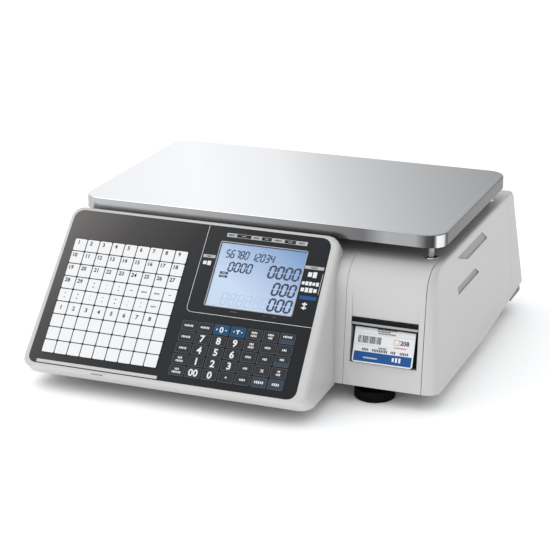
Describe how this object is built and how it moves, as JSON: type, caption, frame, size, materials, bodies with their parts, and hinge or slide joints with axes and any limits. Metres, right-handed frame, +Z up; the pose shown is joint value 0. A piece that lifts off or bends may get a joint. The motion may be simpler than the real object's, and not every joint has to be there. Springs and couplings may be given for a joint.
{
  "type": "label printing scale",
  "caption": "Counter scale with a flat steel platter, a sloping keyboard and display console in front, and a label printer bay with a drop-down side door.",
  "frame": {"origin": "middle of the footprint, on the surface the feet stand on", "axes": "+X to the operator's right, +Y away from the operator, +Z up"},
  "size_m": [0.402, 0.4244, 0.166],
  "materials": {
    "housing_plastic": "satin moulded plastic, warm light grey",
    "tray_plastic": "dark moulded plastic",
    "console_film": "charcoal printed film, satin",
    "key_grey": "dark grey key tops",
    "key_blue": "blue key tops",
    "preset_sheet": "white printed sheet",
    "clear_window": "clear display window",
    "lcd": "lit blue liquid crystal display",
    "platter_steel": "brushed stainless steel",
    "bright_steel": "bright steel",
    "cast_metal": "cast aluminium",
    "board": "green circuit board",
    "black_plastic": "black plastic",
    "rubber": "black rubber",
    "label_paper": "coated white label paper",
    "card": "brown card tube",
    "ceramic": "glazed ceramic print head"
  },
  "bodies": {
    "chassis": {"base_housing": "tray_plastic", "upper_housing": "housing_plastic", "printer_front_cover": "housing_plastic", "console_overlay": "console_film", "display_window": "clear_window", "lcd_module": "lcd", "preset_key_sheet": "preset_sheet", "keypad_board": "board", "main_board": "board", "power_supply": "cast_metal", "load_cell": "cast_metal", "load_cell_base_block": "cast_metal", "door_hinge_rod": "bright_steel", "rear_display_window": "clear_window", "rear_lcd_module": "lcd", "port_block": "black_plastic", "power_inlet": "black_plastic", "bubble_level": "clear_window", "printer_frame": "bright_steel", "stepper_motor": "cast_metal", "drive_belt": "rubber", "peel_bar": "bright_steel", "label_strip": "label_paper"},
    "weigh_platform": {"load_cell_top_block": "cast_metal", "platter_spider": "cast_metal", "platter_pad_front_left": "rubber", "platter_pad_front_right": "rubber", "platter_pad_rear_left": "rubber", "platter_pad_rear_right": "rubber"},
    "platter": {"platter": "platter_steel"},
    "printer_door": {"printer_door": "housing_plastic"},
    "print_head": {"head_bracket": "bright_steel", "print_head": "ceramic"},
    "head_release_lever": {"head_release_lever": "key_blue"},
    "label_roll": {"label_roll": "label_paper", "roll_core": "card"},
    "platen": {"platen_roller": "rubber", "platen_pulley": "black_plastic"},
    "motor_pulley": {"motor_pulley": "bright_steel"},
    "take_up_spool": {"take_up_spool": "black_plastic"},
    "power_switch": {"power_switch": "black_plastic"},
    "foot_front_right": {"foot_front_right": "rubber"},
    "foot_front_left": {"foot_front_left": "rubber"},
    "foot_rear_right": {"foot_rear_right": "rubber"},
    "foot_rear_left": {"foot_rear_left": "rubber"},
    "key_zero": {"key_zero": "key_blue"},
    "key_tare": {"key_tare": "key_blue"},
    "key_print": {"key_print": "key_grey"},
    "key_7": {"key_7": "key_grey"},
    "key_8": {"key_8": "key_grey"},
    "key_9": {"key_9": "key_grey"},
    "key_4": {"key_4": "key_grey"},
    "key_5": {"key_5": "key_grey"},
    "key_6": {"key_6": "key_grey"},
    "key_1": {"key_1": "key_grey"},
    "key_2": {"key_2": "key_grey"},
    "key_3": {"key_3": "key_grey"},
    "key_double_zero": {"key_double_zero": "key_grey"},
    "key_0": {"key_0": "key_grey"},
    "key_point": {"key_point": "key_grey"}
  },
  "joints": [
    {"name": "load_cell_flex", "type": "slide", "parent": "chassis", "child": "weigh_platform", "axis": [0, 0, 1], "range_m": [-0.0004, 0], "stiffness_N_per_m": 20000, "springref_m": 0.003},
    {"name": "platter_lift", "type": "slide", "parent": "weigh_platform", "child": "platter", "axis": [0, 0, 1], "range_m": [0, 0.06]},
    {"name": "printer_door_hinge", "type": "hinge", "parent": "chassis", "child": "printer_door", "pos_m": [0.19, -0.0193, 0.0195], "axis": [0, 1, 0], "range_deg": [0, 85]},
    {"name": "head_lift", "type": "hinge", "parent": "chassis", "child": "print_head", "pos_m": [0.145, -0.0558, 0.099], "axis": [-1, 0, 0], "range_deg": [0, 15]},
    {"name": "head_lever_turn", "type": "hinge", "parent": "chassis", "child": "head_release_lever", "pos_m": [0.1838, -0.0838, 0.068], "axis": [1, 0, 0], "range_deg": [0, 60]},
    {"name": "roll_spin", "type": "hinge", "parent": "chassis", "child": "label_roll", "pos_m": [0.1455, 0.0642, 0.0665], "axis": [1, 0, 0], "continuous": true},
    {"name": "platen_spin", "type": "hinge", "parent": "chassis", "child": "platen", "pos_m": [0.145, -0.1018, 0.0865], "axis": [1, 0, 0], "continuous": true},
    {"name": "motor_spin", "type": "hinge", "parent": "chassis", "child": "motor_pulley", "pos_m": [0.1037, -0.0538, 0.055], "axis": [1, 0, 0], "continuous": true},
    {"name": "take_up_spin", "type": "hinge", "parent": "chassis", "child": "take_up_spool", "pos_m": [0.1455, -0.0088, 0.048], "axis": [1, 0, 0], "continuous": true},
    {"name": "power_switch_rock", "type": "hinge", "parent": "chassis", "child": "power_switch", "pos_m": [0.111, 0.2041, 0.0482], "axis": [-1, 0, 0], "range_deg": [0, 12]},
    {"name": "foot_front_right_turn", "type": "hinge", "parent": "chassis", "child": "foot_front_right", "pos_m": [0.131, -0.1036, 0.01], "axis": [0, 0, 1], "range_deg": [-360, 360]},
    {"name": "foot_front_left_turn", "type": "hinge", "parent": "chassis", "child": "foot_front_left", "pos_m": [-0.16, -0.1036, 0.01], "axis": [0, 0, 1], "range_deg": [-360, 360]},
    {"name": "foot_rear_right_turn", "type": "hinge", "parent": "chassis", "child": "foot_rear_right", "pos_m": [0.165, 0.1762, 0.01], "axis": [0, 0, 1], "range_deg": [-360, 360]},
    {"name": "foot_rear_left_turn", "type": "hinge", "parent": "chassis", "child": "foot_rear_left", "pos_m": [-0.165, 0.1762, 0.01], "axis": [0, 0, 1], "range_deg": [-360, 360]},
    {"name": "key_zero_press", "type": "slide", "parent": "chassis", "child": "key_zero", "axis": [0, 0.7461, -0.6659], "range_m": [0, 0.0008], "stiffness_N_per_m": 800, "springref_m": -0.001},
    {"name": "key_tare_press", "type": "slide", "parent": "chassis", "child": "key_tare", "axis": [0, 0.7461, -0.6659], "range_m": [0, 0.0008], "stiffness_N_per_m": 800, "springref_m": -0.001},
    {"name": "key_print_press", "type": "slide", "parent": "chassis", "child": "key_print", "axis": [0, 0.7461, -0.6659], "range_m": [0, 0.0008], "stiffness_N_per_m": 800, "springref_m": -0.001},
    {"name": "key_7_press", "type": "slide", "parent": "chassis", "child": "key_7", "axis": [0, 0.7461, -0.6659], "range_m": [0, 0.0008], "stiffness_N_per_m": 800, "springref_m": -0.001},
    {"name": "key_8_press", "type": "slide", "parent": "chassis", "child": "key_8", "axis": [0, 0.7461, -0.6659], "range_m": [0, 0.0008], "stiffness_N_per_m": 800, "springref_m": -0.001},
    {"name": "key_9_press", "type": "slide", "parent": "chassis", "child": "key_9", "axis": [0, 0.7461, -0.6659], "range_m": [0, 0.0008], "stiffness_N_per_m": 800, "springref_m": -0.001},
    {"name": "key_4_press", "type": "slide", "parent": "chassis", "child": "key_4", "axis": [0, 0.7461, -0.6659], "range_m": [0, 0.0008], "stiffness_N_per_m": 800, "springref_m": -0.001},
    {"name": "key_5_press", "type": "slide", "parent": "chassis", "child": "key_5", "axis": [0, 0.7461, -0.6659], "range_m": [0, 0.0008], "stiffness_N_per_m": 800, "springref_m": -0.001},
    {"name": "key_6_press", "type": "slide", "parent": "chassis", "child": "key_6", "axis": [0, 0.7461, -0.6659], "range_m": [0, 0.0008], "stiffness_N_per_m": 800, "springref_m": -0.001},
    {"name": "key_1_press", "type": "slide", "parent": "chassis", "child": "key_1", "axis": [0, 0.7461, -0.6659], "range_m": [0, 0.0008], "stiffness_N_per_m": 800, "springref_m": -0.001},
    {"name": "key_2_press", "type": "slide", "parent": "chassis", "child": "key_2", "axis": [0, 0.7461, -0.6659], "range_m": [0, 0.0008], "stiffness_N_per_m": 800, "springref_m": -0.001},
    {"name": "key_3_press", "type": "slide", "parent": "chassis", "child": "key_3", "axis": [0, 0.7461, -0.6659], "range_m": [0, 0.0008], "stiffness_N_per_m": 800, "springref_m": -0.001},
    {"name": "key_double_zero_press", "type": "slide", "parent": "chassis", "child": "key_double_zero", "axis": [0, 0.7461, -0.6659], "range_m": [0, 0.0008], "stiffness_N_per_m": 800, "springref_m": -0.001},
    {"name": "key_0_press", "type": "slide", "parent": "chassis", "child": "key_0", "axis": [0, 0.7461, -0.6659], "range_m": [0, 0.0008], "stiffness_N_per_m": 800, "springref_m": -0.001},
    {"name": "key_point_press", "type": "slide", "parent": "chassis", "child": "key_point", "axis": [0, 0.7461, -0.6659], "range_m": [0, 0.0008], "stiffness_N_per_m": 800, "springref_m": -0.001}
  ],
  "couplings": [
    {"joint": "head_lever_turn", "follows": "head_lift", "ratio": 4},
    {"joint": "platen_spin", "follows": "roll_spin", "ratio": 6.3333},
    {"joint": "motor_spin", "follows": "roll_spin", "ratio": 10.028},
    {"joint": "take_up_spin", "follows": "roll_spin", "ratio": 4.75}
  ]
}
